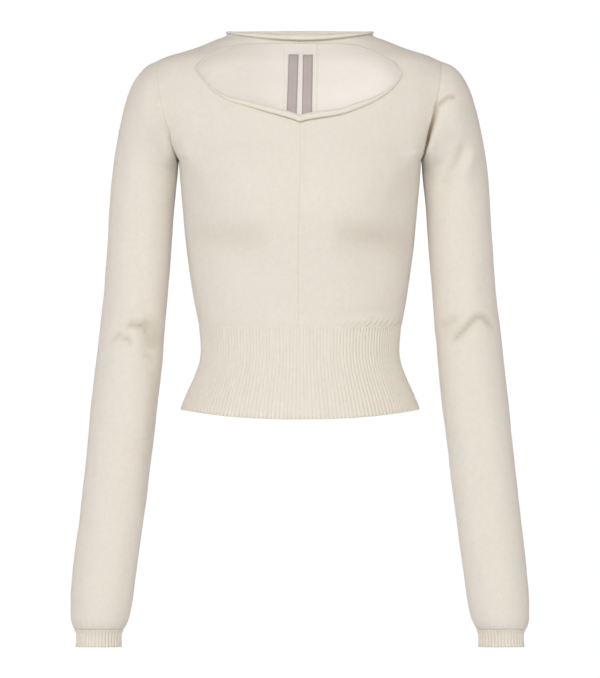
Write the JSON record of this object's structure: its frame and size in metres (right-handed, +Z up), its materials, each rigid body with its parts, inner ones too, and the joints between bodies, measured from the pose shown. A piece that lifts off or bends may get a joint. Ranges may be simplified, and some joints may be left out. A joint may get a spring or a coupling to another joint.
{
  "type": "cropped cutout knit sweater",
  "caption": "Cropped long-sleeve knit sweater, hollow as if worn, with a wide rolled neckband, a lens-shaped front cutout, extra-long sleeves and a deep ribbed hem.",
  "frame": {"origin": "the middle of the shoulder line, where the wearer's shoulders hold the garment up", "axes": "+Z up, the front faces -Y, +X to the right of someone looking at the front"},
  "size_m": [0.572, 0.2157, 0.7682],
  "materials": {
    "knit": "matte fine jersey knit",
    "rib": "matte ribbed knit",
    "tape": "matte woven tape, bare"
  },
  "bodies": {
    "root": {"front_left": "knit", "front_right": "knit", "back": "knit", "sleeve_left": "knit", "sleeve_right": "knit", "neck_roll": "knit", "cutout_roll_left": "knit", "cutout_roll_right": "knit", "back_strip": "knit", "rib_hem": "rib", "cuff_left": "rib", "cuff_right": "rib", "label_left": "tape", "label_right": "tape"}
  },
  "joints": []
}
